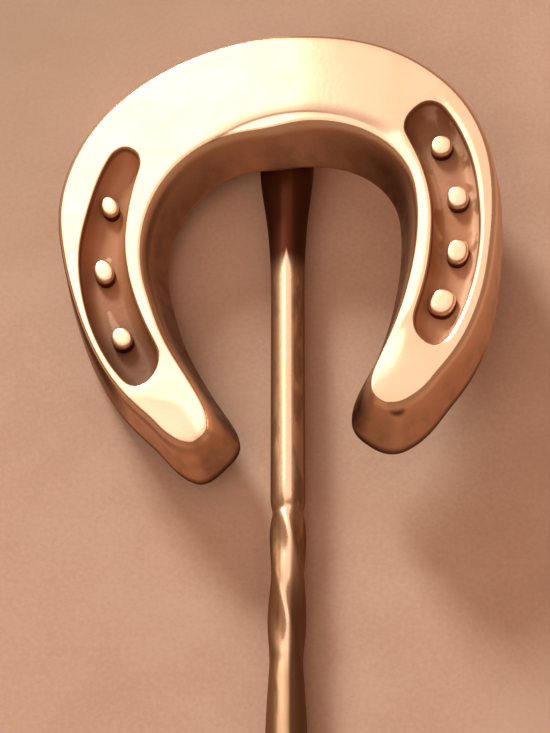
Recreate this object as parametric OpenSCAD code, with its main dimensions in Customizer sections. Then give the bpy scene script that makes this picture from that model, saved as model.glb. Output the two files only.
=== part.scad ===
// Gold stick pin: a horseshoe head on a wire stem with a twisted grip.
// It lies face up on its stem, with the toe of the shoe at +Y and the point at -Y.

/* [Shoe] */
// Thickness of the shoe from its face to its back
shoe_t = 1.55; // [1.3:0.05:1.9]
// How far the outer wall leans out from the face down to the back
outer_draft = 0.25; // [0.1:0.05:0.4]
// How far the inner wall and the heel ends lean out from the face down to the back
inner_draft = 0.58; // [0.3:0.02:0.64]
// Height of the face's crown above its rims
crown = 0.05; // [0.01:0.01:0.12]
// Turn of the shoe on the stem, seen from the front
askew = 3.6; // [0:0.2:6]

/* [Channels] */
// Depth of the two nail channels
channel_depth = 0.75; // [0.5:0.05:0.9]
// How far the channel's floor stays inside its mouth
channel_slope = 0.34; // [0.1:0.02:0.4]

/* [Nails] */
// Thickness of a nail
nail_d = 0.64; // [0.4:0.02:0.7]
// Height of the nail tops below the crown of the face
nail_drop = 0.2; // [0:0.05:0.3]
// Depth of a nail's seat in the channel floor
seat_depth = 0.35; // [0.2:0.05:0.4]
// Gap between a nail and its seat
seat_gap = 0.03; // [0.02:0.01:0.05]

/* [Stem] */
// Thickness of the round wire behind the shoe
wire_d = 1.08; // [1:0.02:1.2]
// Thickness of the straight shank below the grip
shank_d = 1.2; // [1.1:0.02:1.3]
// Width of the flattened end under the toe
pad_w = 1.66; // [1.2:0.02:2]
// Thickness of the flattened end under the toe
pad_t = 0.84; // [0.6:0.02:1]
// Depth that the wire is sunk into the solder on the back of the shoe
solder_sink = 0.08; // [0.05:0.01:0.2]
// Distance from the middle of the shoe to the top of the twisted grip
grip_top = 8.3; // [8:0.1:12]
// Length of the twisted grip
grip_l = 4.5; // [3:0.1:8]
// Turn of the grip over its length
grip_twist = 205; // [90:5:720]
// Width across the flats of the square wire at the top of the grip
grip_flat = 0.98; // [0.8:0.02:0.98]
// Length of the straight shank
shank_l = 37; // [20:0.5:45]
// Length of the tapered point
point_l = 5; // [3:0.5:8]

/* [Hidden] */
$fn = 48;
LEFT = -1;
RIGHT = 1;
OUT = 1;
IN = -1;

// The face outline in polar form, measured from the middle of the shoe.
// A row each 15 degrees, from the toe round to the heel.
// Columns: outer radius left, outer radius right, inner radius left, inner radius right
row_step = 15;
face_rows = [
    [6.78, 6.78, 3.44, 3.46],
    [6.75, 6.79, 3.54, 3.66],
    [6.75, 6.82, 3.70, 3.86],
    [6.76, 6.70, 3.79, 4.00],
    [6.68, 6.57, 3.84, 4.08],
    [6.47, 6.36, 3.88, 4.09],
    [6.18, 6.15, 3.96, 4.03],
    [6.10, 6.13, 4.09, 4.06],
    [6.29, 6.38, 4.31, 4.25],
    [6.68, 6.72, 4.78, 4.66],
    [7.08, 6.99, 5.47, 5.34],
    [7.30, 7.15, 6.60, 6.40]];
OUTER_RADIUS = [0, 1];
INNER_RADIUS = [2, 3];

// The heels, left and right. A power of 1 rounds the end as an ellipse, and 2 as a straight chamfer.
// Columns: angle of the last full section, tip x, tip y, outer power, inner power
heel_rows = [
    [147, -2.64, -6.80, 1.25, 0.65],
    [144, 2.64, -6.36, 1.15, 0.68]];
HEEL_ANGLE = 0;
HEEL_X = 1;
HEEL_Y = 2;
HEEL_POWER = [3, 4];
// A section near the heel leans, so that it stays square to the branch
heel_lean = 7;
lean_start = 85;
lean_end = 150;
lean_power = 0.8;

// The walls between their two edges. Columns: share of the draft, share of the thickness below the face
wall_levels = [[0.6, 0.68], [0.25, 0.36], [0.06, 0.103]];
// The crown beside its top line. Share of the half width, share of the crown's height
crown_place = 0.55;
crown_share = 0.7;

// The channels. A row each 15 degrees, from the toe round to the heel.
// Columns: middle radius left, middle radius right, half width left, half width right
channel_rows = [
    [6.20, 6.20, 0.50, 0.74],
    [6.20, 6.20, 0.50, 0.74],
    [5.80, 5.90, 0.50, 0.74],
    [5.38, 5.60, 0.52, 0.74],
    [5.17, 5.38, 0.55, 0.73],
    [5.04, 5.23, 0.60, 0.72],
    [5.09, 5.15, 0.67, 0.68],
    [5.19, 5.20, 0.71, 0.69],
    [5.42, 5.41, 0.74, 0.68],
    [5.78, 5.76, 0.72, 0.66],
    [6.20, 6.20, 0.70, 0.65]];
MIDDLE_RADIUS = [0, 1];
HALF_WIDTH = [2, 3];
// The channels' ends, left and right. Columns: angle of the upper end, angle of the lower end
channel_ends = [[50, 140], [49, 141]];
// Length of a channel's rounded end
channel_nose = 0.85;
// The channel's rounded bottom. Columns: share of the slope, share of the depth
channel_levels = [[1, 1], [0.52, 0.93], [0.22, 0.78], [0.05, 0.45], [0, 0.08], [0, -0.6]];

// The nails. Columns: x, y, from the middle of the shoe
nails_left = [[-4.88, 1.61], [-5.11, -0.62], [-4.65, -2.94]];
nails_right = [[4.94, 2.17], [5.23, 0.31], [5.04, -1.52], [4.45, -3.12]];
nail_bevel = 0.06;

// The flattened end of the wire. Columns: y, share of the width, share of the thickness
pad_rows = [[5.7, 0.6, 0.5], [5.0, 1, 1], [3.1, 1, 1]];
pad_end = 0.9;
point_r = 0.06;
// The grip's corners and the pad's small end lie inside the round wire by this share
inside = 0.97;

// Fineness of the shoe's skin
branch_steps = 26;
heel_steps = 7;
heel_turn = 84;
channel_sides = 18;
grip_slices = 40;

rim = 0.18;
rim_fall = 0.01;
edge = 0.06;
wire_sides = 32;
sliver = 0.02;
wire_r = wire_d / 2;
shank_r = shank_d / 2;
nail_r = nail_d / 2;
// Heights above the stem's axis
back_z = wire_r - solder_sink;
face_z = back_z + shoe_t;
floor_z = face_z - channel_depth;
// Distances down the stem from the middle of the shoe
grip_end = grip_top + grip_l;
shank_end = grip_end + shank_l;
stem_end = shank_end + point_l;

function column(side, pair) = pair[side == LEFT ? 0 : 1];
function polar(side, angle, r) = [side * r * sin(angle), r * cos(angle)];
function reversed(list) = [for (i = [len(list) - 1 : -1 : 0]) list[i]];
function from_second(list) = [for (i = [1 : len(list) - 1]) list[i]];

// Smooth curve through rows that stand 15 degrees apart, which runs on over the toe
function row_value(rows, i, side, pair) =
    rows[min(abs(i), len(rows) - 1)][column(i < 0 ? -side : side, pair)];
function smooth(rows, angle, side, pair) =
    let (i = floor(angle / row_step), f = angle / row_step - i)
    let (a = row_value(rows, i - 1, side, pair), b = row_value(rows, i, side, pair))
    let (c = row_value(rows, i + 1, side, pair), d = row_value(rows, i + 2, side, pair))
    b + 0.5 * f * (c - a + f * (2 * a - 5 * b + 4 * c - d + f * (3 * (b - c) + d - a)));

function lean(angle) =
    heel_lean * pow(max(angle - lean_start, 0) / (lean_end - lean_start), lean_power);
function outer_point(side, angle) =
    polar(side, angle, smooth(face_rows, angle, side, OUTER_RADIUS));
function inner_point(side, angle) =
    let (leant = angle + lean(angle))
    polar(side, leant, smooth(face_rows, leant, side, INNER_RADIUS));

// A station is a place along the shoe: side, angle, and turn round the end of the heel
function heel_angle(side) = column(side, heel_rows)[HEEL_ANGLE];
function half_stations(side) = concat(
    [for (i = [0 : branch_steps]) [side, heel_angle(side) * i / branch_steps, 0]],
    [for (i = [1 : heel_steps]) [side, heel_angle(side), heel_turn * i / heel_steps]]);
stations = concat(reversed(half_stations(LEFT)), from_second(half_stations(RIGHT)));

// The section, from the back's outer edge over the face to the back's inner edge.
// Columns: side, offset from the face outline, the same at the heel, share of the width, height
function wall_row(side, draft, share, z) = [side, draft * share, inner_draft * share, 1, z];
function wall(side, draft) = concat(
    [[side, draft - edge, inner_draft - edge, 1, back_z], wall_row(side, draft, 1, back_z + edge)],
    [for (level = wall_levels) wall_row(side, draft, level[0], face_z - shoe_t * level[1])],
    [[side, -edge, -edge, 1, face_z - edge], [side, -rim, -rim, 1, face_z - rim_fall]]);
face = [
    [OUT, -rim, -rim, crown_place, face_z + crown * crown_share],
    [OUT, -rim, -rim, 0, face_z + crown],
    [IN, -rim, -rim, crown_place, face_z + crown * crown_share]];
section = concat(wall(OUT, outer_draft), face, reversed(wall(IN, inner_draft)));

function shoe_point(station, row) =
    let (outer = outer_point(station[0], station[1]), inner = inner_point(station[0], station[1]))
    let (middle = (outer + inner) / 2, half = (outer - inner) / 2)
    let (heel = column(station[0], heel_rows), end = [heel[HEEL_X], heel[HEEL_Y]] - middle)
    let (power = heel[HEEL_POWER[row[0] == OUT ? 0 : 1]])
    let (across = row[0] * row[3] * (norm(half) + row[1]) * pow(cos(station[2]), power))
    let (along = (norm(end) + row[2]) * pow(sin(station[2]), power))
    let (p = middle + across * half / norm(half) + along * end / norm(end))
    [p[0], p[1], row[4]];
shoe_rings = [for (station = stations) [for (row = section) shoe_point(station, row)]];

// One ring of a channel's wall, drawn in from its mouth by an inset
function nose(distance) =
    distance < channel_nose ? sqrt(max(0, 1 - pow(1 - distance / channel_nose, 2))) : 1;
function channel_point(side, half, f, inset, z) =
    let (ends = column(side, channel_ends), span = ends[1] - ends[0], angle = ends[0] + span * f)
    let (r = smooth(channel_rows, angle, side, MIDDLE_RADIUS))
    let (width = smooth(channel_rows, angle, side, HALF_WIDTH))
    let (length = r * span * PI / 180, place = inset + (length - 2 * inset) * f)
    let (w = (width - inset) * nose(min(f, 1 - f) * length))
    let (p = polar(side, ends[0] + span * place / length, r + half * w))
    [p[0], p[1], z];
function channel_ring(side, inset, z) =
    let (ring = [for (half = [OUT, IN], i = [0 : channel_sides - 1])
        let (f = 0.5 - 0.5 * cos(180 * i / channel_sides))
        channel_point(side, half, half == OUT ? f : 1 - f, inset, z)])
    side == RIGHT ? reversed(ring) : ring;

// Closed skin over rings of points. Each end is closed from side to side, like a zip.
function zip_place(m, n) = m % 2 == 0 ? m / 2 : n - (m + 1) / 2;
module skin(rings) {
    n = len(rings[0]);
    last = (len(rings) - 1) * n;
    walls = [for (i = [0 : n : last - n], j = [0 : n - 1])
        each [[i + j, i + n + j, i + n + (j + 1) % n], [i + j, i + n + (j + 1) % n, i + (j + 1) % n]]];
    zip = [for (m = [0 : n - 3]) let (places = [for (k = [0 : 2]) zip_place(m + k, n)])
        m % 2 == 1 ? places : reversed(places)];
    far_zip = [for (places = zip) [for (place = reversed(places)) last + place]];
    polyhedron([for (ring = rings, p = ring) p], concat(walls, zip, far_zip));
}

module channel(side) {
    skin([for (level = channel_levels)
        channel_ring(side, level[0] * channel_slope, face_z - level[1] * channel_depth)]);
}

module nail_seats(places) {
    for (place = places)
        translate([place[0], place[1], floor_z - seat_depth])
            cylinder(r = nail_r + seat_gap, h = seat_depth + channel_depth + 1);
}

module shoe() {
    rotate([0, 0, askew]) difference() {
        skin(shoe_rings);
        channel(LEFT);
        channel(RIGHT);
        nail_seats(nails_left);
        nail_seats(nails_right);
    }
}

// What rises along Z is turned to run down the stem from a place on it
module along_stem(y) {
    translate([0, -y, 0]) rotate([90, 0, 0]) children();
}

module flattened_end() {
    hull() {
        for (row = pad_rows)
            translate([0, 0, back_z + solder_sink - row[2] * pad_t / 2]) along_stem(-row[0])
                linear_extrude(sliver) scale([pad_w * row[1], pad_t * row[2]]) circle(0.5, $fn = wire_sides);
        along_stem(-pad_end) cylinder(r = wire_r * inside, h = wire_r, $fn = wire_sides);
    }
}

module grip() {
    along_stem(grip_top)
        linear_extrude(grip_l, twist = grip_twist, slices = grip_slices, scale = shank_d / wire_d)
            intersection() {
                square(grip_flat, center = true);
                circle(r = wire_r * inside, $fn = wire_sides);
            }
}

module stem() {
    flattened_end();
    along_stem(-pad_end) cylinder(r = wire_r, h = pad_end + grip_top + sliver);
    grip();
    along_stem(grip_end - sliver) cylinder(r = shank_r, h = shank_l + sliver);
    along_stem(shank_end) cylinder(r1 = shank_r, r2 = point_r, h = point_l);
}

// The pin rolls on its stem until the back of the shoe's left side is on the ground
function turned(p) =
    [p[0] * cos(askew) - p[1] * sin(askew), p[0] * sin(askew) + p[1] * cos(askew), p[2]];
skin_points = [for (ring = shoe_rings, p = ring) turned(p)];
function ground_roll(p) = asin(shank_r / norm([p[0], p[2]])) + atan2(p[2], -p[0]);
roll = min([for (p = skin_points) if (p[0] < -wire_d) ground_roll(p)]);
laid_x = [for (p = skin_points) p[0] * cos(roll) - p[2] * sin(roll)];
toe_y = max([for (p = skin_points) p[1]]);

// The origin is on the ground under the middle of the pin
module lay_down() {
    translate([-(min(laid_x) + max(laid_x)) / 2, (stem_end - toe_y) / 2, shank_r])
        rotate([0, -roll, 0]) children();
}

module shoe_and_stem() {
    color("goldenrod") lay_down() {
        shoe();
        stem();
    }
}

// A nail stands in its seat with the same gap below it as round it
module nail(place) {
    nail_h = seat_depth - seat_gap + channel_depth + crown - nail_drop;
    color("gold") lay_down() rotate([0, 0, askew])
        translate([place[0], place[1], floor_z - seat_depth + seat_gap]) {
            cylinder(r = nail_r, h = nail_h - nail_bevel);
            translate([0, 0, nail_h - nail_bevel])
                cylinder(r1 = nail_r, r2 = nail_r - nail_bevel, h = nail_bevel);
        }
}

shoe_and_stem();
nail(nails_left[0]);  // nail_left_1
nail(nails_left[1]);  // nail_left_2
nail(nails_left[2]);  // nail_left_3
nail(nails_right[0]);  // nail_right_1
nail(nails_right[1]);  // nail_right_2
nail(nails_right[2]);  // nail_right_3
nail(nails_right[3]);  // nail_right_4
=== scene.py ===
from math import cos, degrees, floor, pi, radians, sin

import bmesh
import bpy
from mathutils import Matrix, Vector


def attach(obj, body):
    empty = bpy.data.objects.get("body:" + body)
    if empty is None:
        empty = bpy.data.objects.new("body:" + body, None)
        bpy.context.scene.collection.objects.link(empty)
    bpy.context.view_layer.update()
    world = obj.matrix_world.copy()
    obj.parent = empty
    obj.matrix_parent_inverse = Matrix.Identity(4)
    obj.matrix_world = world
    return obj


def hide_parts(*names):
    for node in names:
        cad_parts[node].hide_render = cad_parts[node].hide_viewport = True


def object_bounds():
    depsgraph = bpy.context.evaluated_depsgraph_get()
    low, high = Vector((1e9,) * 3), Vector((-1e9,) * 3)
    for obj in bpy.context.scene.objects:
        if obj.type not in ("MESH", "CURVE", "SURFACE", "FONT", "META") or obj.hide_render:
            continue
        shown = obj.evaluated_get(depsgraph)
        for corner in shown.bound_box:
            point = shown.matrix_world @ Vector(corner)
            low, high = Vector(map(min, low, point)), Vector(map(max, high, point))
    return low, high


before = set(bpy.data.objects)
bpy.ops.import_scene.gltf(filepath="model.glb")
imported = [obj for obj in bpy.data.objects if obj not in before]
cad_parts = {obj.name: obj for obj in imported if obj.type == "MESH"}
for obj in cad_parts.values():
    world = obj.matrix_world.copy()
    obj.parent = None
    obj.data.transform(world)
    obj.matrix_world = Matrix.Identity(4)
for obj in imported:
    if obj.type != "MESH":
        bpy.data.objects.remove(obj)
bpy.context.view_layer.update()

# Camera: it looks down on the head from the point's side, about 60 degrees above the ground, through a
# long lens. The photograph crops the stem below the twisted grip.
CAMERA_PLACE = Vector((-0.000934, -0.015308, 0.0613))
LENS_MM = 121.06
SENSOR_MM = 36
NEAREST = 0.005
camera = bpy.data.objects.new("camera", bpy.data.cameras.new("camera"))
bpy.context.scene.collection.objects.link(camera)
camera_right = Vector((0.99986, 0.00181, 0.01424)).normalized()
camera_back = Vector((-0.01138, -0.50616, 0.86238)).normalized()
camera_up = camera_back.cross(camera_right).normalized()
camera_turn = Matrix((camera_right, camera_up, camera_back)).transposed().to_4x4()
camera.matrix_world = Matrix.Translation(CAMERA_PLACE) @ camera_turn
camera.data.lens = LENS_MM
camera.data.sensor_width = SENSOR_MM
camera.data.clip_start = NEAREST
bpy.context.scene.camera = camera

# The shoe: a small cast gold horseshoe with a nearly flat polished face, a rounded inner rim, walls that
# lean out to a wider back, and a rounded channel sunk along each branch for the nails. It was cast in one
# piece, filed and polished on the face, and left dull and brown in the channels and down the walls.
MM = 0.001
LEFT, RIGHT = -1, 1
OUT, IN = 1, -1
ROW_STEP = 15

# Radii of the face, a row each 15 degrees from the toe round to the heel.
# Columns: outer left, outer right, inner left, inner right
FACE_ROWS = [
    (6.86, 6.86, 3.29, 3.29),
    (6.84, 6.88, 3.40, 3.52),
    (6.86, 6.95, 3.57, 3.74),
    (6.87, 6.91, 3.67, 3.92),
    (6.79, 6.79, 3.74, 4.03),
    (6.58, 6.58, 3.79, 4.06),
    (6.28, 6.36, 3.87, 4.00),
    (6.20, 6.32, 4.01, 4.03),
    (6.39, 6.54, 4.24, 4.22),
    (6.76, 6.84, 4.73, 4.63),
    (7.13, 7.06, 5.44, 5.32),
    (7.30, 7.15, 6.60, 6.40),
]
# Radii of the back, in the same rows and columns
BACK_ROWS = [
    (7.03, 7.03, 2.86, 2.86),
    (7.00, 7.04, 3.08, 2.97),
    (7.00, 7.07, 3.20, 3.15),
    (7.01, 6.98, 3.23, 3.33),
    (6.93, 6.85, 3.26, 3.46),
    (6.72, 6.64, 3.30, 3.51),
    (6.43, 6.41, 3.38, 3.45),
    (6.35, 6.40, 3.51, 3.48),
    (6.54, 6.70, 3.73, 3.67),
    (6.93, 7.12, 4.20, 4.08),
    (7.33, 7.42, 4.89, 4.76),
    (7.55, 7.60, 6.02, 5.82),
]
# Width of the rolled rim, the same again: tight where the polished strip runs right out to the edge
RIM_ROWS = [
    (0.22, 0.22, 0.20, 0.20),
    (0.22, 0.22, 0.20, 0.20),
    (0.22, 0.22, 0.19, 0.18),
    (0.22, 0.22, 0.18, 0.16),
    (0.20, 0.22, 0.17, 0.13),
    (0.14, 0.22, 0.16, 0.11),
    (0.10, 0.21, 0.15, 0.10),
    (0.08, 0.19, 0.14, 0.09),
    (0.07, 0.17, 0.12, 0.08),
    (0.07, 0.15, 0.10, 0.07),
    (0.08, 0.13, 0.09, 0.07),
    (0.08, 0.12, 0.09, 0.07),
]
OUTER_RADIUS, INNER_RADIUS = (0, 1), (2, 3)

# Channels, a row each 15 degrees.
# Columns: middle radius left, middle radius right, half width left, half width right
CHANNEL_ROWS = [
    (6.20, 6.20, 0.50, 0.74),
    (6.20, 6.20, 0.50, 0.74),
    (5.80, 5.90, 0.50, 0.74),
    (5.38, 5.60, 0.52, 0.74),
    (5.17, 5.38, 0.55, 0.73),
    (5.04, 5.23, 0.60, 0.72),
    (5.09, 5.15, 0.67, 0.68),
    (5.19, 5.20, 0.71, 0.69),
    (5.42, 5.41, 0.74, 0.68),
    (5.78, 5.76, 0.72, 0.66),
    (6.20, 6.20, 0.70, 0.65),
]
MIDDLE_RADIUS, HALF_WIDTH = (0, 1), (2, 3)
# A channel's ends in degrees, the length of its rounded nose, and how square the nose is
CHANNEL_ENDS = {LEFT: (51, 140), RIGHT: (51.5, 139.5)}
CHANNEL_NOSE = 0.85
NOSE_POWER = 2.6
MEAN_RADIUS = 5.4

# Heels: angle of the last full section. Then the tip of the face and of the back, and the power of their
# outer and inner corners, where a lower power is squarer.
HEEL_ANGLE = {LEFT: 147, RIGHT: 144}
FACE_TIP = {LEFT: Vector((-2.64, -6.80, 0)), RIGHT: Vector((2.64, -6.36, 0))}
FACE_CORNER = {LEFT: {OUT: 1.20, IN: 0.65}, RIGHT: {OUT: 1.15, IN: 0.68}}
BACK_TIP = {LEFT: Vector((-2.14, -7.03, 0)), RIGHT: Vector((2.06, -6.86, 0))}
BACK_CORNER = {LEFT: {OUT: 0.70, IN: 0.49}, RIGHT: {OUT: 0.86, IN: 0.64}}
# A section near the heel leans by this many degrees at most, so that it stays square to the branch
HEEL_LEAN = 7
LEAN_START, LEAN_END = 85, 150
LEAN_POWER = 0.8

# Thickness of the shoe, heights above the stem's axis, and depth of the channels
SHOE_T = 1.55
BACK_Z = 0.46
FACE_Z = BACK_Z + SHOE_T
CHANNEL_DEPTH = 0.58
# How far the face stands out in its middle, where a negative crown is hollow. A heel's crown eases in over
# a few rows, and the inner lip of a channel rises by a share of its strip's crown.
TOE_CROWN = 0.02
STRIP_CROWN = {LEFT: 0.0, RIGHT: 0.03}
HEEL_CROWN = {LEFT: -0.02, RIGHT: 0.075}
HEEL_EASE = 3
LIP_SHARE = 1.35
# Turn of the shoe on the stem, roll of the pin on the ground, and where the stem's axis passes under the
# middle of the shoe
ASKEW = radians(3.6)
ROLL = radians(9.2925)
STEM_R = 0.6
MIDDLE = Vector((0.182303, 23.8849, STEM_R))

# The pin rolls on its stem until the shoe's left side is on the ground. Everything is modelled in
# millimetres from the stem's axis and then laid down by these two matrices.
laid_stem = Matrix.Scale(MM, 4) @ Matrix.Translation(MIDDLE) @ Matrix.Rotation(-ROLL, 4, "Y")
laid_shoe = laid_stem @ Matrix.Rotation(ASKEW, 4, "Z")


def polar(side, angle, r):
    return Vector((side * r * sin(radians(angle)), r * cos(radians(angle)), 0))


def smooth(rows, angle, side, pair):
    """Smooth curve through rows that stand 15 degrees apart, which runs on over the toe."""
    i = floor(angle / ROW_STEP)
    f = angle / ROW_STEP - i
    a, b, c, d = [
        rows[min(abs(k), len(rows) - 1)][pair[0 if (side if k >= 0 else -side) == LEFT else 1]]
        for k in (i - 1, i, i + 1, i + 2)
    ]
    return b + 0.5 * f * (c - a + f * (2 * a - 5 * b + 4 * c - d + f * (3 * (b - c) + d - a)))


def outline(rows, tip, corner, side, angle, turn, edge):
    """A place on the edge of the face or the back, and how it moves for 1 mm of offset."""
    leant = angle + HEEL_LEAN * (max(angle - LEAN_START, 0) / (LEAN_END - LEAN_START)) ** LEAN_POWER
    outer = polar(side, angle, smooth(rows, angle, side, OUTER_RADIUS))
    inner = polar(side, leant, smooth(rows, leant, side, INNER_RADIUS))
    middle, half = (outer + inner) / 2, (outer - inner) / 2
    end = tip[side] - middle
    power = corner[side][edge]
    across = edge * max(cos(radians(turn)), 0) ** power * half.normalized()
    along = max(sin(radians(turn)), 0) ** power * end.normalized()
    return middle + across * half.length + along * end.length, across + along


def channel_edge(side, edge, near_toe, distance, grown):
    """A place on a channel's mouth, at a distance from its toe end or its heel end."""
    first, last = CHANNEL_ENDS[side]
    turn = degrees(distance / MEAN_RADIUS)
    angle = first + turn if near_toe else last - turn
    r = smooth(CHANNEL_ROWS, angle, side, MIDDLE_RADIUS)
    left_over = max(1 - distance / CHANNEL_NOSE, 0)
    share = (1 - left_over ** NOSE_POWER) ** (1 / NOSE_POWER)
    width = (smooth(CHANNEL_ROWS, angle, side, HALF_WIDTH) + grown) * share
    stretch = degrees(grown / r) * left_over * (-1 if near_toe else 1)
    return polar(side, angle + stretch, r + edge * width)


# The face is a grid of quads: rows along the shoe, counted from the toe to each heel, and columns across
# it, counted from the outer edge. Part of the rows and columns on each side are the channel.
CHANNEL_FIRST, CHANNEL_LAST, HEEL_ROW, END_ROW = 7, 23, 24, 27
COLUMNS = 10
CHANNEL_OUT, CHANNEL_MIDDLE, CHANNEL_IN = 2, 5, 8
# Degrees round the heel at its two corner vertices, and shares of a nose's length at its vertices
HEEL_CORNER = 52
NOSE_SHARES = {0: 0, 1: 0.36, 2: 0.66, 3: 0.88}
LIP = 0.03
ON_FACE, IN_CHANNEL = 0, 1
SMOOTHINGS = 40
FLOOR_SMOOTHINGS = 12


def row_angle(side, row):
    first, last = CHANNEL_ENDS[side]
    if row < CHANNEL_FIRST:
        return first * row / CHANNEL_FIRST
    if row <= CHANNEL_LAST:
        return first + (last - first) * (row - CHANNEL_FIRST) / (CHANNEL_LAST - CHANNEL_FIRST)
    return HEEL_ANGLE[side]


def rim_place(side, row, column):
    """Place on the face's edge for a grid vertex, its way to the back's edge, and its offset."""
    edge = OUT if column < COLUMNS / 2 else IN
    turn = max(row - HEEL_ROW, 0) / (END_ROW - HEEL_ROW) * HEEL_CORNER
    if row == END_ROW:
        turn += (90 - HEEL_CORNER) * (1 - abs(column - COLUMNS / 2) / (COLUMNS / 2))
    where = (side, row_angle(side, row), turn, edge)
    place, offset = outline(FACE_ROWS, FACE_TIP, FACE_CORNER, *where)
    rim = smooth(RIM_ROWS, row_angle(side, row), side, OUTER_RADIUS if edge == OUT else INNER_RADIUS)
    return place, outline(BACK_ROWS, BACK_TIP, BACK_CORNER, *where)[0] - place, rim * offset


def mouth_place(side, row, column):
    """Place of a grid vertex on the mouth of a channel."""
    edge = OUT if column <= CHANNEL_MIDDLE else IN
    first, last = CHANNEL_ENDS[side]
    step = MEAN_RADIUS * radians(last - first) / (CHANNEL_LAST - CHANNEL_FIRST)
    near_toe = row < (CHANNEL_FIRST + CHANNEL_LAST) / 2
    distance = (row - CHANNEL_FIRST if near_toe else CHANNEL_LAST - row) * step
    if row in (CHANNEL_FIRST, CHANNEL_LAST):
        share = NOSE_SHARES[abs(column - CHANNEL_MIDDLE)]
        distance = CHANNEL_NOSE * (1 - (1 - share ** NOSE_POWER) ** (1 / NOSE_POWER))
    return channel_edge(side, edge, near_toe, distance, LIP)


shoe = bmesh.new()
bmesh.ops.create_grid(shoe, x_segments=2 * END_ROW, y_segments=COLUMNS, size=1)
draft_of = shoe.verts.layers.float_vector.new("draft_of")
offset_of = shoe.verts.layers.float_vector.new("offset_of")
channel_faces = {LEFT: [], RIGHT: []}
for f in shoe.faces:
    middle = f.calc_center_median()
    row, column = abs(middle.x) * END_ROW, (1 - middle.y) * COLUMNS / 2
    if CHANNEL_FIRST < row < CHANNEL_LAST and CHANNEL_OUT < column < CHANNEL_IN:
        channel_faces[LEFT if middle.x < 0 else RIGHT].append(f)
held = set()
for v in shoe.verts:
    row = round(v.co.x * END_ROW)
    column = round((1 - v.co.y) * COLUMNS / 2)
    side, row = (LEFT if row < 0 else RIGHT), abs(row)
    on_rim = column in (0, COLUMNS) or row == END_ROW
    on_mouth = (
        CHANNEL_FIRST <= row <= CHANNEL_LAST and column in (CHANNEL_OUT, CHANNEL_IN)
        or row in (CHANNEL_FIRST, CHANNEL_LAST) and CHANNEL_OUT <= column <= CHANNEL_IN
    )
    if on_rim:
        place, v[draft_of], v[offset_of] = rim_place(side, row, column)
        v.co = place - v[offset_of]
    elif on_mouth:
        v.co = mouth_place(side, row, column)
    else:
        outer = rim_place(side, min(row, HEEL_ROW), 0)[0]
        inner = rim_place(side, min(row, HEEL_ROW), COLUMNS)[0]
        tip = rim_place(side, END_ROW, column)[0]
        v.co = outer.lerp(inner, column / COLUMNS)
        v.co = v.co.lerp(tip, max(row - HEEL_ROW, 0) / (END_ROW - HEEL_ROW))
    if on_rim or on_mouth:
        held.add(v)
    across = 2 * column / COLUMNS - 1
    rise = TOE_CROWN * (1 - across * across)
    if CHANNEL_FIRST < row < CHANNEL_LAST:
        rise = STRIP_CROWN[side] if column in (1, COLUMNS - 1) else 0
        if on_mouth and column > COLUMNS / 2:
            rise = STRIP_CROWN[side] * LIP_SHARE
    elif row >= CHANNEL_LAST:
        rise = HEEL_CROWN[side] * (1 - across * across) * min(1, (END_ROW - row) / (END_ROW - HEEL_ROW))
        rise *= min(1, (row - CHANNEL_LAST + 1) / HEEL_EASE)
    v.co.z = FACE_Z + rise
loose = [v for v in shoe.verts if v not in held]
for _ in range(SMOOTHINGS):
    bmesh.ops.smooth_vert(shoe, verts=loose, factor=0.5, use_axis_x=True, use_axis_y=True, use_axis_z=False)

# The back is a flat copy of the face, grown by the draft of the walls. It ends inside its outline by a
# share of the rim, which leaves a small rounded edge.
EDGE = 0.4
back = bmesh.ops.duplicate(shoe, geom=shoe.verts[:] + shoe.edges[:] + shoe.faces[:])["geom"]
back_verts = [g for g in back if isinstance(g, bmesh.types.BMVert)]
back_rim = [v for v in back_verts if v.is_boundary]
for v in back_verts:
    v.co.z = BACK_Z
for v in back_rim:
    v.co += v[draft_of] + (1 - EDGE) * v[offset_of]
inner_back = [v for v in back_verts if not v.is_boundary]
for _ in range(SMOOTHINGS):
    bmesh.ops.smooth_vert(
        shoe, verts=inner_back, factor=0.5, use_axis_x=True, use_axis_y=True, use_axis_z=False)
bmesh.ops.reverse_faces(shoe, faces=[g for g in back if isinstance(g, bmesh.types.BMFace)])

# Each wall runs down from the rim to the back.
# Columns: offset from the outline in widths of the rim, share of the way to the back's outline, height
WALL_LEVELS = [
    (-0.62, 0.00, FACE_Z - 0.016),
    (-0.30, 0.00, FACE_Z - 0.058),
    (-0.08, 0.03, FACE_Z - 0.125),
    (0.00, 0.10, FACE_Z - 0.24),
    (0.00, 0.37, FACE_Z - 0.42 * SHOE_T),
    (0.00, 0.68, FACE_Z - 0.70 * SHOE_T),
    (0.00, 0.96, BACK_Z + 0.12),
    (0.00, 1.00, BACK_Z + 0.06),
    (-EDGE, 1.00, BACK_Z),
]
back_set = set(back_verts)
ring = [e for e in shoe.edges if e.is_boundary and e.verts[0] not in back_set]
before = (-1.0, 0.0)
for offset, share, z in WALL_LEVELS:
    grown = bmesh.ops.extrude_edge_only(shoe, edges=ring)["geom"]
    for v in [g for g in grown if isinstance(g, bmesh.types.BMVert)]:
        v.co += (share - before[1]) * v[draft_of] + (offset - before[0]) * v[offset_of]
        v.co.z = z
    ring = [e for e in grown if isinstance(e, bmesh.types.BMEdge) and e.is_boundary]
    before = (offset, share)
bmesh.ops.remove_doubles(shoe, verts=shoe.verts, dist=0.002)
bmesh.ops.recalc_face_normals(shoe, faces=shoe.faces)

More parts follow.
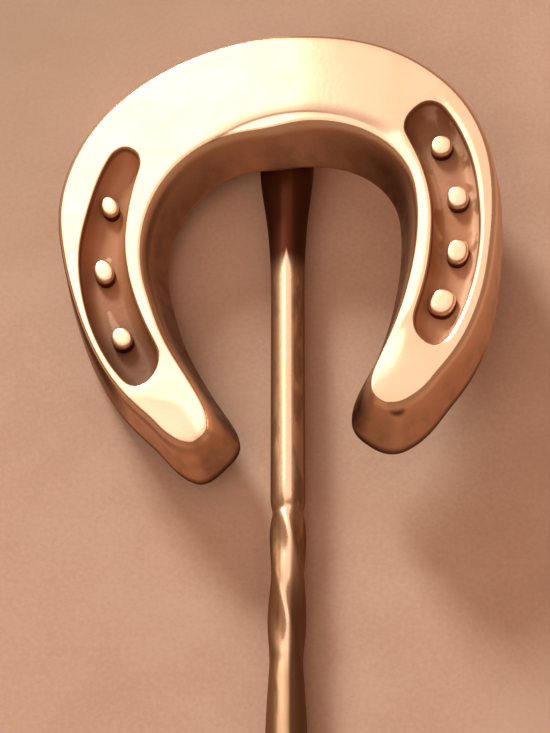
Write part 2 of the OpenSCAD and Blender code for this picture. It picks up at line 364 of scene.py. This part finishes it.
# The channels go down in steps from the lip to the floor. Columns: inset, depth
CHANNEL_STEPS = [(LIP, 0.012), (0.022, 0.05), (0.02, 0.16), (0.055, 0.16), (0.10, 0.12), (0.14, 0.08)]
for side, faces in channel_faces.items():
    for inset, depth in CHANNEL_STEPS:
        walls = bmesh.ops.inset_region(
            shoe, faces=faces, thickness=inset, depth=-depth, use_boundary=True, use_even_offset=True,
        )["faces"]
        floor_edge = {v for f in faces for v in f.verts if any(g not in faces for g in v.link_faces)}
        floor_verts = list({v for f in faces for v in f.verts} - floor_edge)
        for _ in range(FLOOR_SMOOTHINGS):
            bmesh.ops.smooth_vert(
                shoe, verts=floor_verts, factor=0.5, use_axis_x=True, use_axis_y=True, use_axis_z=True)
        for f in walls + faces:
            f.material_index = IN_CHANNEL if depth > CHANNEL_STEPS[0][1] else ON_FACE
bmesh.ops.transform(shoe, matrix=laid_shoe, verts=shoe.verts)


def make_piece(name, mesh, levels):
    """Turns a finished bmesh into a smooth object, rounded by subdivision where it has levels."""
    data = bpy.data.meshes.new(name)
    mesh.to_mesh(data)
    mesh.free()
    for polygon in data.polygons:
        polygon.use_smooth = True
    piece = bpy.data.objects.new(name, data)
    bpy.context.scene.collection.objects.link(piece)
    if levels:
        rounding = piece.modifiers.new("rounding", "SUBSURF")
        rounding.levels = rounding.render_levels = levels
    return piece


shoe_piece = make_piece("shoe", shoe, 2)


class Value:
    """A socket of a material that can be used in sums."""

    def __init__(self, finish, socket):
        self.finish, self.socket = finish, socket

    def math(self, operation, *others):
        return self.finish.node("ShaderNodeMath", {"operation": operation}, dict(enumerate((self, *others))))

    def __add__(self, other):
        return self.math("ADD", other)

    def __sub__(self, other):
        return self.math("SUBTRACT", other)

    def __mul__(self, other):
        return self.math("MULTIPLY", other)

    def __rsub__(self, other):
        return (self * -1) + other

    __radd__, __rmul__ = __add__, __mul__

    def smoothly(self, low, high):
        """0 below low and 1 above high, or the other way round where low is the larger."""
        inputs = {"Value": self, "From Min": low, "From Max": high}
        return self.finish.node("ShaderNodeMapRange", {"interpolation_type": "SMOOTHSTEP"}, inputs)


class Finish:
    """The nodes of one material."""

    def __init__(self, name):
        self.material = bpy.data.materials.new(name)
        self.material.use_nodes = True
        self.tree = self.material.node_tree
        self.tree.nodes.clear()

    def node(self, kind, settings, inputs, output=0):
        made = self.tree.nodes.new(kind)
        for key, value in settings.items():
            setattr(made, key, value)
        for key, value in inputs.items():
            if isinstance(value, Value):
                self.tree.links.new(value.socket, made.inputs[key])
            else:
                made.inputs[key].default_value = value
        return Value(self, made.outputs[output]) if made.outputs else None

    def place(self, matrix):
        """Object coordinates in the millimetres that a piece was drawn in."""
        there = self.node("ShaderNodeTexCoord", {}, {}, "Object")
        back_again = matrix.inverted()
        return self.node("ShaderNodeMapping", {}, {
            "Vector": there,
            "Location": back_again.to_translation(),
            "Rotation": back_again.to_euler(),
            "Scale": back_again.to_scale(),
        })

    def noise(self, place, scale, detail=3.0, rough=0.5):
        inputs = {"Vector": place, "Scale": scale, "Detail": detail, "Roughness": rough}
        return self.node("ShaderNodeTexNoise", {}, inputs)

    def blend(self, share, first, second):
        inputs = {"Factor": share, 6: first, 7: second}
        return self.node("ShaderNodeMix", {"data_type": "RGBA"}, inputs, 2)

    def axis(self, place, name):
        return self.node("ShaderNodeSeparateXYZ", {}, {"Vector": place}, name)

    def distance(self, place, point):
        return self.node("ShaderNodeVectorMath", {"operation": "DISTANCE"}, {0: place, 1: point}, "Value")

    def surface(self, colour, roughness, height_mm, metallic=1.0):
        bump = self.node("ShaderNodeBump", {}, {"Strength": 1.0, "Distance": MM, "Height": height_mm})
        shader = self.node("ShaderNodeBsdfPrincipled", {}, {
            "Base Color": colour, "Roughness": roughness, "Metallic": metallic, "Normal": bump})
        self.node("ShaderNodeOutputMaterial", {}, {"Surface": shader})
        return self.material


ROSE_GOLD = (0.94, 0.65, 0.45, 1)
DEEP_GOLD = (0.92, 0.60, 0.39, 1)
SCUFFED_GOLD = (0.70, 0.47, 0.33, 1)
PATINA = (0.79, 0.49, 0.325, 1)
# A near-black brown for soil, nicks, scorch and streaks, and for painted shade.
SOOT_AND_SHADE_BROWN = (0.09, 0.026, 0.011, 1)
# Places on the shoe: a nick under the right heel's face, a scuff on the left heel, and the middle of the
# toe's line
NICK = (2.92, -6.42, FACE_Z - 0.22)
SCUFF = (-4.3, -6.9, FACE_Z)
LINE_MIDDLE = (0.5, -0.2, FACE_Z + 0.02)
shoe_gold = Finish("rose_gold_polished_face")
spot = shoe_gold.place(laid_shoe)
across, up = shoe_gold.axis(spot, "X"), shoe_gold.axis(spot, "Y")
depth = FACE_Z - shoe_gold.axis(spot, "Z")
clouds = shoe_gold.noise(spot, 0.6)
grain = shoe_gold.noise(spot, 9.0, 4.0, 0.6)
gold = shoe_gold.blend(clouds.smoothly(0.35, 0.7), ROSE_GOLD, DEEP_GOLD)
rolled = depth.smoothly(0.005, 0.06)
sunk = depth.smoothly(0.12, 0.30)

# The walls darken towards the back with random soil, and with painted shade inside the shoe, most towards
# the heels and beside the right channel.
from_gap = (across * across + up.math("MAXIMUM", up * -0.75).math("POWER", 2)).math("SQRT")
inside = from_gap.smoothly(5.3, 4.7)
towards_heels = up.smoothly(2.4, -4.2) * 0.72
beside_right = across.smoothly(2.0, 4.0) * 0.6
mottles = shoe_gold.noise(spot, 2.0, 4.0).smoothly(0.42, 0.66)
soil_and_painted_shade = mottles * 0.15 + clouds * (0.25 - inside * up.smoothly(0.5, 2.5) * 0.22)
soil_and_painted_shade = soil_and_painted_shade + inside * towards_heels.math("MAXIMUM", beside_right)
grime_and_painted_shade = depth.smoothly(0.10, 0.90) * soil_and_painted_shade

# Painted shade: dark lines under the left branch's rim, down its outer wall and round the foot of the heels,
# where shade falls.
under_rim = depth.smoothly(0.16, 0.26) * depth.smoothly(0.60, 0.35)
beside_toe = across.math("ABSOLUTE").smoothly(2.0, 4.0) * across.smoothly(3.4, 1.0)
grime_and_painted_shade = grime_and_painted_shade.math("MAXIMUM", under_rim * beside_toe * 0.5)
outer_left = across.smoothly(-4.3, -5.2) * up.smoothly(-6.2, -5.0) * depth.smoothly(0.02, 0.08)
grime_and_painted_shade = grime_and_painted_shade.math("MAXIMUM", outer_left * (0.96 - 0.4 * depth.smoothly(0.4, 1.2)))
heel_foot = depth.smoothly(1.22, 1.47) * up.smoothly(-3.5, -5.0)
grime_and_painted_shade = grime_and_painted_shade.math("MAXIMUM", heel_foot * 0.92)
nick = shoe_gold.distance(spot, NICK).smoothly(0.30, 0.12)
grime_and_painted_shade = grime_and_painted_shade.math("MAXIMUM", nick * sunk * 0.85)

# The face bends very slightly at the toe, where the two halves were bent round. A fine dark line along its
# inner edge there, and a blurred darker band outside it on the right, are painted shade of that dip. The
# gold rises again from the line to the edge.
bend = ((across - 0.9) * (across - 0.9) + 0.25).math("SQRT") * -0.03
from_line = shoe_gold.distance(spot, LINE_MIDDLE)
at_toe = up.smoothly(2.2, 3.3)
raised = from_line.smoothly(4.12, 3.60) * at_toe
line = from_line.smoothly(4.15, 4.06) * from_line.smoothly(3.94, 4.04) * at_toe * across.smoothly(2.6, 0.8)
beyond_line = from_line.smoothly(4.50, 4.10) * from_line.smoothly(4.00, 4.05)
faded = beyond_line * across.smoothly(-2.6, -0.8) * at_toe
grime_and_painted_shade = grime_and_painted_shade.math("MAXIMUM", (faded * 0.46 + line * 0.34) * (1 - rolled))

# Scale creeps over the rim at the left heel, and the gold there is scuffed.
scale = shoe_gold.noise(spot, 2.6, 4.0).smoothly(0.42, 0.62)
scale_edge = up.smoothly(-6.05, -6.70) * across.smoothly(0, -1) * scale
from_scuff = shoe_gold.distance(spot, SCUFF)
scuffed = (from_scuff + shoe_gold.noise(spot, 1.4, 4.0) * 0.3).smoothly(2.08, 1.85)
gold = shoe_gold.blend(scuffed, gold, SCUFFED_GOLD)
patina = sunk.math("MAXIMUM", scale_edge * 0.7)
shoe_piece.data.materials.append(shoe_gold.surface(
    shoe_gold.blend(grime_and_painted_shade, shoe_gold.blend(patina, gold, PATINA), SOOT_AND_SHADE_BROWN),
    0.13 + 0.05 * clouds + 0.2 * rolled + 0.1 * sunk + 0.15 * scale_edge + 0.4 * outer_left + 0.08 * scuffed,
    grain * (0.0015 + 0.0085 * sunk) + bend + raised * 0.024,
))

# The channels are dull and brown, darker at the upper right and the lower left ends and paler at the other
# two. Painted shade darkens them just under the lip, a painted highlight lies on the right channel's outer
# wall, and small painted glints lie by the nails on the left.
OLIVE_BROWN = (0.50, 0.215, 0.085, 1)
ROSE_BROWN = (0.56, 0.245, 0.13, 1)
# The pale gold paints the paler channel ends and the painted highlight and glints.
PALE_GOLD = (0.98, 0.60, 0.42, 1)
CHANNEL_FLOOR = FACE_Z - CHANNEL_DEPTH
CHANNEL_METALLIC = 0.15
# Painted glints on the left channel's floor, by the nails.
# Columns: x, y, radius
GLINT_SPOTS = [
    (-5.00, -0.10, 0.05),
    (-5.03, -1.90, 0.02),
    (-5.00, -2.00, 0.03),
    (-4.97, -2.10, 0.04),
    (-4.94, -2.20, 0.05),
    (-4.90, -2.30, 0.06),
    (-4.86, -2.40, 0.07),
]
SPOT_BLUR = 0.08
channel_brown = Finish("dull_brown_channels")
spot = channel_brown.place(laid_shoe)
across, up = channel_brown.axis(spot, "X"), channel_brown.axis(spot, "Y")
depth = FACE_Z - channel_brown.axis(spot, "Z")
blotches = channel_brown.noise(spot, 1.3, 3.0)
brown = channel_brown.blend(blotches.smoothly(0.35, 0.65), OLIVE_BROWN, ROSE_BROWN)
diagonal = across * up
darker_ends = diagonal.smoothly(0, 15) * (0.42 + 0.25 * up.smoothly(-1.5, -3.5))
# Painted shade just under the lip of each channel.
under_lip = depth.smoothly(0.02, 0.06) * (1 - depth.smoothly(0.12, 0.26))
dark_ends_and_painted_shade = darker_ends.math("MAXIMUM", under_lip * 0.65)
# A painted highlight on the lower part of the right channel's outer wall.
painted_wall_highlight = across.smoothly(4.3, 4.9) * depth.smoothly(0.16, 0.26) * depth.smoothly(0.585, 0.50)
painted_wall_highlight = painted_wall_highlight * channel_brown.noise(spot, 1.1, 2.0).smoothly(0.42, 0.50)
pale_ends_and_painted_glints = (diagonal.smoothly(-6, -15) * 0.25).math("MAXIMUM", painted_wall_highlight)
# Small painted glints by the left nails.
for x, y, radius in GLINT_SPOTS:
    from_spot = channel_brown.distance(spot, (x, y, CHANNEL_FLOOR))
    pale_ends_and_painted_glints = pale_ends_and_painted_glints.math("MAXIMUM", from_spot.smoothly(radius + SPOT_BLUR, radius) * 0.75)
shoe_piece.data.materials.append(channel_brown.surface(
    channel_brown.blend(dark_ends_and_painted_shade, channel_brown.blend(pale_ends_and_painted_glints, brown, PALE_GOLD), SOOT_AND_SHADE_BROWN),
    0.55 + 0.15 * blotches,
    channel_brown.noise(spot, 7.0, 4.0, 0.6) * 0.012,
    CHANNEL_METALLIC,
))
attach(shoe_piece, "root")
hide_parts("shoe_and_stem")

# The nails: seven little gold pegs, three in the left channel and four in the right, which stand in drilled
# seats in the channel floor. Their tops were rounded over by hand, so no two are alike.
# Columns: node, x, y, half width, half length, turn, squareness
NAILS = [
    ("nail_left_1", -4.88, 1.61, 0.27, 0.40, 16, 2.1),
    ("nail_left_2", -5.11, -0.62, 0.30, 0.44, 14, 2.1),
    ("nail_left_3", -4.65, -2.94, 0.31, 0.38, 22, 2.2),
    ("nail_right_1", 4.94, 2.17, 0.33, 0.38, -10, 2.3),
    ("nail_right_2", 5.23, 0.31, 0.32, 0.41, 0, 2.4),
    ("nail_right_3", 5.04, -1.52, 0.32, 0.43, -14, 2.4),
    ("nail_right_4", 4.45, -3.12, 0.38, 0.45, -25, 2.6),
]
NAIL_SIDES = 16
NAIL_TOP = FACE_Z - 0.27
NAIL_FOOT = CHANNEL_FLOOR - 0.3
# The top's rounding. Columns: share of the width, depth below the top
NAIL_LEVELS = [(0.45, 0.0), (0.78, 0.01), (0.92, 0.04), (0.99, 0.10), (1.0, 0.20), (1.0, 0.40)]


def squared(sides, power):
    """Shares of a circle's points that push it out towards a square."""
    turns = [2 * pi * k / sides for k in range(sides)]
    return [(abs(cos(t)) ** power + abs(sin(t)) ** power) ** (-1 / power) for t in turns]


nail_gold = Finish("rose_gold_nails")
spot = nail_gold.place(laid_shoe)
depth = NAIL_TOP - nail_gold.axis(spot, "Z")
clouds = nail_gold.noise(spot, 2.5)
# Below its rounded top each nail is painted near-black: painted shade down its sides in the channel.
sunk = depth.smoothly(0.06, 0.14)
nail_metal = nail_gold.surface(
    nail_gold.blend(sunk * 0.95, nail_gold.blend(clouds.smoothly(0.3, 0.7), ROSE_GOLD, DEEP_GOLD), SOOT_AND_SHADE_BROWN),
    0.24 + 0.1 * clouds + 0.2 * sunk,
    nail_gold.noise(spot, 8.0, 3.0) * 0.004,
)
for name, x, y, half_width, half_length, turn, power in NAILS:
    nail = bmesh.new()
    bmesh.ops.create_circle(nail, cap_ends=True, cap_tris=False, radius=1, segments=NAIL_SIDES)
    shares = squared(NAIL_SIDES, power)
    for v, share in zip(nail.verts, shares):
        v.co *= share
    bmesh.ops.scale(nail, vec=(half_width, half_length, 1), verts=nail.verts)
    size, drop = NAIL_LEVELS[0]
    bmesh.ops.scale(nail, vec=(size, size, 1), verts=nail.verts)
    rim_edges = nail.edges[:]
    for wider, lower in NAIL_LEVELS[1:] + [(1.0, NAIL_TOP - NAIL_FOOT)]:
        grown = bmesh.ops.extrude_edge_only(nail, edges=rim_edges)["geom"]
        ring = [g for g in grown if isinstance(g, bmesh.types.BMVert)]
        bmesh.ops.scale(nail, vec=(wider / size, wider / size, 1), verts=ring)
        bmesh.ops.translate(nail, vec=(0, 0, drop - lower), verts=ring)
        rim_edges = [e for e in grown if isinstance(e, bmesh.types.BMEdge) and e.is_boundary]
        size, drop = wider, lower
    bmesh.ops.holes_fill(nail, edges=rim_edges, sides=0)
    bmesh.ops.recalc_face_normals(nail, faces=nail.faces)
    stand = Matrix.Translation((x, y, NAIL_TOP)) @ Matrix.Rotation(radians(turn), 4, "Z")
    bmesh.ops.transform(nail, matrix=laid_shoe @ stand, verts=nail.verts)
    nail_piece = make_piece(name.replace("nail", "peg"), nail, 2)
    nail_piece.data.materials.append(nail_metal)
    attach(nail_piece, "root")
    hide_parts(name)

# The stem: one gold wire, hammered flat where it is soldered under the toe, round behind the shoe, filed
# square and twisted for the grip, and then a straight round shank that tapers to the point.
WIRE_R = 0.50
PAD_T = 0.84
PAD_Z = 0.54 - PAD_T / 2
GRIP_TOP = 8.3
GRIP_L = 4.5
GRIP_END = GRIP_TOP + GRIP_L
GRIP_TWIST = -150
GRIP_PHASE = -38
GRIP_TURN = GRIP_PHASE + GRIP_TWIST
GRIP_STEPS = 24
GRIP_HALF = 0.44
GRIP_GROWTH = 0.02
SHANK_L = 37
SHANK_END = GRIP_END + SHANK_L
# How far the wire stands aside behind the shoe, and the length over which it comes back
SWAY = 0.05
SWAY_L = 3.5
STEM_SIDES = 16
# How square a section is
ROUND, SQUARE = 2.0, 5.0
# Sections down the stem. Columns: distance from the middle of the shoe, half width, half height, height of
# the section's middle, squareness, turn
STEM_ROWS = [
    (-5.78, 0.30, 0.12, PAD_Z, ROUND, 0),
    (-5.72, 0.46, 0.19, PAD_Z, ROUND, 0),
    (-5.45, 0.66, 0.33, PAD_Z, 2.2, 0),
    (-5.00, 0.82, 0.41, PAD_Z, 2.3, 0),
    (-4.20, 0.83, 0.42, PAD_Z, 2.3, 0),
    (-3.00, 0.83, 0.42, PAD_Z, 2.3, 0),
    (-2.20, 0.74, 0.44, PAD_Z + 0.03, 2.2, 0),
    (-1.30, 0.61, 0.49, 0.08, ROUND, 0),
    (-0.50, 0.55, 0.53, 0.03, ROUND, 0),
    (0.30, WIRE_R, WIRE_R, 0, ROUND, 0),
    (2.0, WIRE_R, WIRE_R, 0, ROUND, 0),
    (5.0, WIRE_R, WIRE_R, 0, ROUND, 0),
    (7.6, WIRE_R, WIRE_R, 0, ROUND, 0),
    (8.1, WIRE_R, WIRE_R, 0, ROUND, 0),
]
for k in range(GRIP_STEPS + 1):
    f = k / GRIP_STEPS
    half = GRIP_HALF + GRIP_GROWTH * f
    squareness = ROUND + (SQUARE - ROUND) * min(1, 6 * f, 4 * (1 - f))
    STEM_ROWS.append((GRIP_TOP + GRIP_L * f, half, half, 0, squareness, GRIP_PHASE + GRIP_TWIST * f))
STEM_ROWS += [
    (GRIP_END + 0.3, 0.48, 0.47, 0, 2.2, GRIP_TURN),
    (GRIP_END + 1.0, 0.53, 0.51, 0, ROUND, GRIP_TURN),
    (GRIP_END + 2.4, STEM_R, STEM_R, 0, ROUND, GRIP_TURN),
    (22.0, STEM_R, STEM_R, 0, ROUND, GRIP_TURN),
    (36.0, STEM_R, STEM_R, 0, ROUND, GRIP_TURN),
    (SHANK_END - 0.4, STEM_R, STEM_R, 0, ROUND, GRIP_TURN),
    (SHANK_END + 0.2, 0.97 * STEM_R, 0.97 * STEM_R, 0, ROUND, GRIP_TURN),
    (SHANK_END + 2.5, 0.33, 0.33, 0, ROUND, GRIP_TURN),
    (SHANK_END + 4.6, 0.10, 0.10, 0, ROUND, GRIP_TURN),
    (SHANK_END + 4.93, 0.055, 0.055, 0, ROUND, GRIP_TURN),
]


def shape_ring(verts, row):
    """Puts a ring of the stem's vertices in its place on the stem."""
    distance, half_width, half_height, z, power, turn = row
    sway = SWAY * min(1, max(0, (GRIP_END - distance) / SWAY_L))
    for k, (v, share) in enumerate(zip(verts, squared(len(verts), power))):
        angle = 2 * pi * k / len(verts)
        flat = Matrix.Rotation(radians(turn), 2) @ Vector((cos(angle) * share, sin(angle) * share))
        v.co = (sway + flat.x * half_width, -distance, z + flat.y * half_height)


stem = bmesh.new()
ring = bmesh.ops.create_circle(stem, cap_ends=False, radius=1, segments=STEM_SIDES)["verts"]
shape_ring(ring, STEM_ROWS[0])
first_edges = last_edges = stem.edges[:]
for row in STEM_ROWS[1:]:
    grown = bmesh.ops.extrude_edge_only(stem, edges=last_edges)["geom"]
    new_verts = {g for g in grown if isinstance(g, bmesh.types.BMVert)}
    ring = [next(e.other_vert(v) for e in v.link_edges if e.other_vert(v) in new_verts) for v in ring]
    shape_ring(ring, row)
    last_edges = [e for e in grown if isinstance(e, bmesh.types.BMEdge) and e.is_boundary]
bmesh.ops.holes_fill(stem, edges=first_edges, sides=0)
bmesh.ops.holes_fill(stem, edges=last_edges, sides=0)
bmesh.ops.recalc_face_normals(stem, faces=stem.faces)
bmesh.ops.transform(stem, matrix=laid_stem, verts=stem.verts)
stem_piece = make_piece("stem", stem, 2)

WIRE_BROWN = (0.34, 0.17, 0.08, 1)
stem_gold = Finish("rose_gold_drawn_wire")
spot = stem_gold.place(Matrix.Scale(MM, 4) @ Matrix.Translation(MIDDLE))
aside = stem_gold.axis(spot, "X")
down = stem_gold.axis(spot, "Y") * -1
clouds = stem_gold.noise(spot, 0.8)
wire_gold = stem_gold.blend(clouds.smoothly(0.35, 0.7), ROSE_GOLD, DEEP_GOLD)

# The end under the toe is painted dark: the scorch of the soldering, and painted shade where the toe shades
# it, with a pointed edge where the highlight starts. The wire is painted brown down both sides as it lies,
# which is painted shade that narrows the highlight along its top, with some tarnish on the shank. This fades
# out part of the way down the shank.
under_toe_edge = down - 4.5 * aside.math("ABSOLUTE").math("MINIMUM", 0.21)
scorch_and_toe_shade = under_toe_edge.smoothly(0.15, -0.25) * down.smoothly(1.1, -0.1)
until_mid_shank = down.smoothly(26, 17)
lower = down.smoothly(7.8, 9.2) * until_mid_shank
shank = down.smoothly(12.4, 13.4) * until_mid_shank
sideways = aside - SWAY * down.smoothly(12.8, 9.0)
flank = ((sideways + 0.04 + 0.05 * shank).math("ABSOLUTE") + 0.04 * lower).smoothly(0.10, 0.24)
tarnish_and_painted_side_shade = (flank * (0.72 + 0.2 * lower - 0.5 * down.smoothly(17, 26))).math("MAXIMUM", shank * 0.5)

# Darkest are streaks along it, and painted shade: its thin outlines and both sides of the grip and of the
# upper shank.
thin_outline = (sideways.math("ABSOLUTE") - 0.09 * shank).smoothly(0.38, 0.45) * until_mid_shank
STRETCH = (1.0, 0.3, 1.0)
along = stem_gold.node("ShaderNodeVectorMath", {"operation": "MULTIPLY"}, {0: spot, 1: STRETCH}, "Vector")
streaks = stem_gold.noise(along, 2.4, 4.0).smoothly(0.46, 0.62) * flank * until_mid_shank
left_side = (sideways + 0.09).smoothly(-0.16, -0.28)
right_side = (sideways + 0.09).smoothly(0.10, 0.21)
dark_sides = right_side.math("MAXIMUM", left_side * 0.8) * down.smoothly(8.6, 12.0) * until_mid_shank
scorch_streaks_and_painted_shade = scorch_and_toe_shade.math("MAXIMUM", thin_outline * 0.65).math("MAXIMUM", streaks * 0.5)
scorch_streaks_and_painted_shade = scorch_streaks_and_painted_shade.math("MAXIMUM", dark_sides * 0.62)
stem_piece.data.materials.append(stem_gold.surface(
    stem_gold.blend(scorch_streaks_and_painted_shade, stem_gold.blend(tarnish_and_painted_side_shade, wire_gold, WIRE_BROWN), SOOT_AND_SHADE_BROWN),
    0.18 + 0.08 * clouds + 0.25 * flank + 0.13 * shank + 0.2 * scorch_streaks_and_painted_shade,
    stem_gold.noise(spot, 6.0, 3.0) * 0.003,
))
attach(stem_piece, "root")
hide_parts("shoe_and_stem")

# Floor: a plain pale card under the pin, slightly mottled, with painted shade that makes it a little darker
# at the far left.
PALE_CARD = (0.79, 0.54, 0.44, 1)
MOTTLED_CARD = (0.71, 0.46, 0.36, 1)
DARK_CARD = (0.50, 0.36, 0.28, 1)
CARD_HALF = 1.5
card = bmesh.new()
bmesh.ops.create_grid(card, x_segments=1, y_segments=1, size=CARD_HALF)
bmesh.ops.translate(card, vec=(0, 0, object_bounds()[0][2]), verts=card.verts)
card_piece = make_piece("card", card, 0)
card_finish = Finish("pale_card")
spot = card_finish.place(Matrix.Scale(MM, 4))
mottle = card_finish.noise(spot, 0.35, 4.0)
fibres = card_finish.noise(spot, 7.0, 2.0, 0.7)
mottled = (mottle * 0.5 + fibres * 0.5).smoothly(0.35, 0.65)
far_left = (card_finish.axis(spot, "Y") - card_finish.axis(spot, "X") * 0.7).smoothly(24, 42)
card_tone = card_finish.blend(mottled, PALE_CARD, MOTTLED_CARD)
card_surface = card_finish.node("ShaderNodeBsdfPrincipled", {}, {
    "Base Color": card_finish.blend(far_left * 0.65, card_tone, DARK_CARD),
    "Roughness": 0.7,
    "Specular IOR Level": 0.2,
})
card_finish.node("ShaderNodeOutputMaterial", {}, {"Surface": card_surface})
card_piece.data.materials.append(card_finish.material)

# Light: a small soft window, low behind the pin and to its left, throws the soft shadows. A large soft room
# in front fills them, and a little warm light comes from all round.
WARM_LIGHT = (1.0, 0.62, 0.42, 1)
WARM_STRENGTH = 0.36
world = bpy.data.worlds.new("studio")
world.use_nodes = True
world.node_tree.nodes["Background"].inputs["Color"].default_value = WARM_LIGHT
world.node_tree.nodes["Background"].inputs["Strength"].default_value = WARM_STRENGTH
bpy.context.scene.world = world
# The middle of the horseshoe, which every soft box faces
HEAD = Vector((0, 0.024, 0.002))


def soft_box(name, shape, direction, distance, width, height, watts, colour):
    lamp = bpy.data.lights.new(name, "AREA")
    lamp.shape = shape
    lamp.size, lamp.size_y = width, height
    lamp.energy = watts
    lamp.color = colour
    box = bpy.data.objects.new(name, lamp)
    bpy.context.scene.collection.objects.link(box)
    toward = Vector(direction).normalized()
    box.location = HEAD + toward * distance
    box.rotation_mode = "QUATERNION"
    box.rotation_quaternion = toward.to_track_quat("Z", "Y")
    return box


soft_box("low_window", "RECTANGLE", (-1.1, 2.2, 1.0), 0.6, 0.14, 0.12, 3.0, (0.97, 1.0, 0.86))
# The room in front only fills the shadows. The ceiling and the glow round the window only show in the gold.
room = soft_box("front_room", "RECTANGLE", (-0.42, -0.64, 0.75), 0.8, 0.7, 0.5, 1.70, (1.0, 0.82, 0.63))
room.visible_glossy = False
ceiling = soft_box("ceiling", "RECTANGLE", (-0.09, 0.48, 0.872), 0.35, 0.33, 0.31, 0.28, (1.0, 0.92, 0.86))
ceiling.visible_diffuse = False
glow = soft_box("window_glow", "ELLIPSE", (-0.425, 0.66, 0.63), 0.4, 0.20, 0.24, 0.15, (1.0, 0.95, 0.90))
glow.visible_diffuse = False
bpy.context.scene.view_settings.view_transform = "Standard"
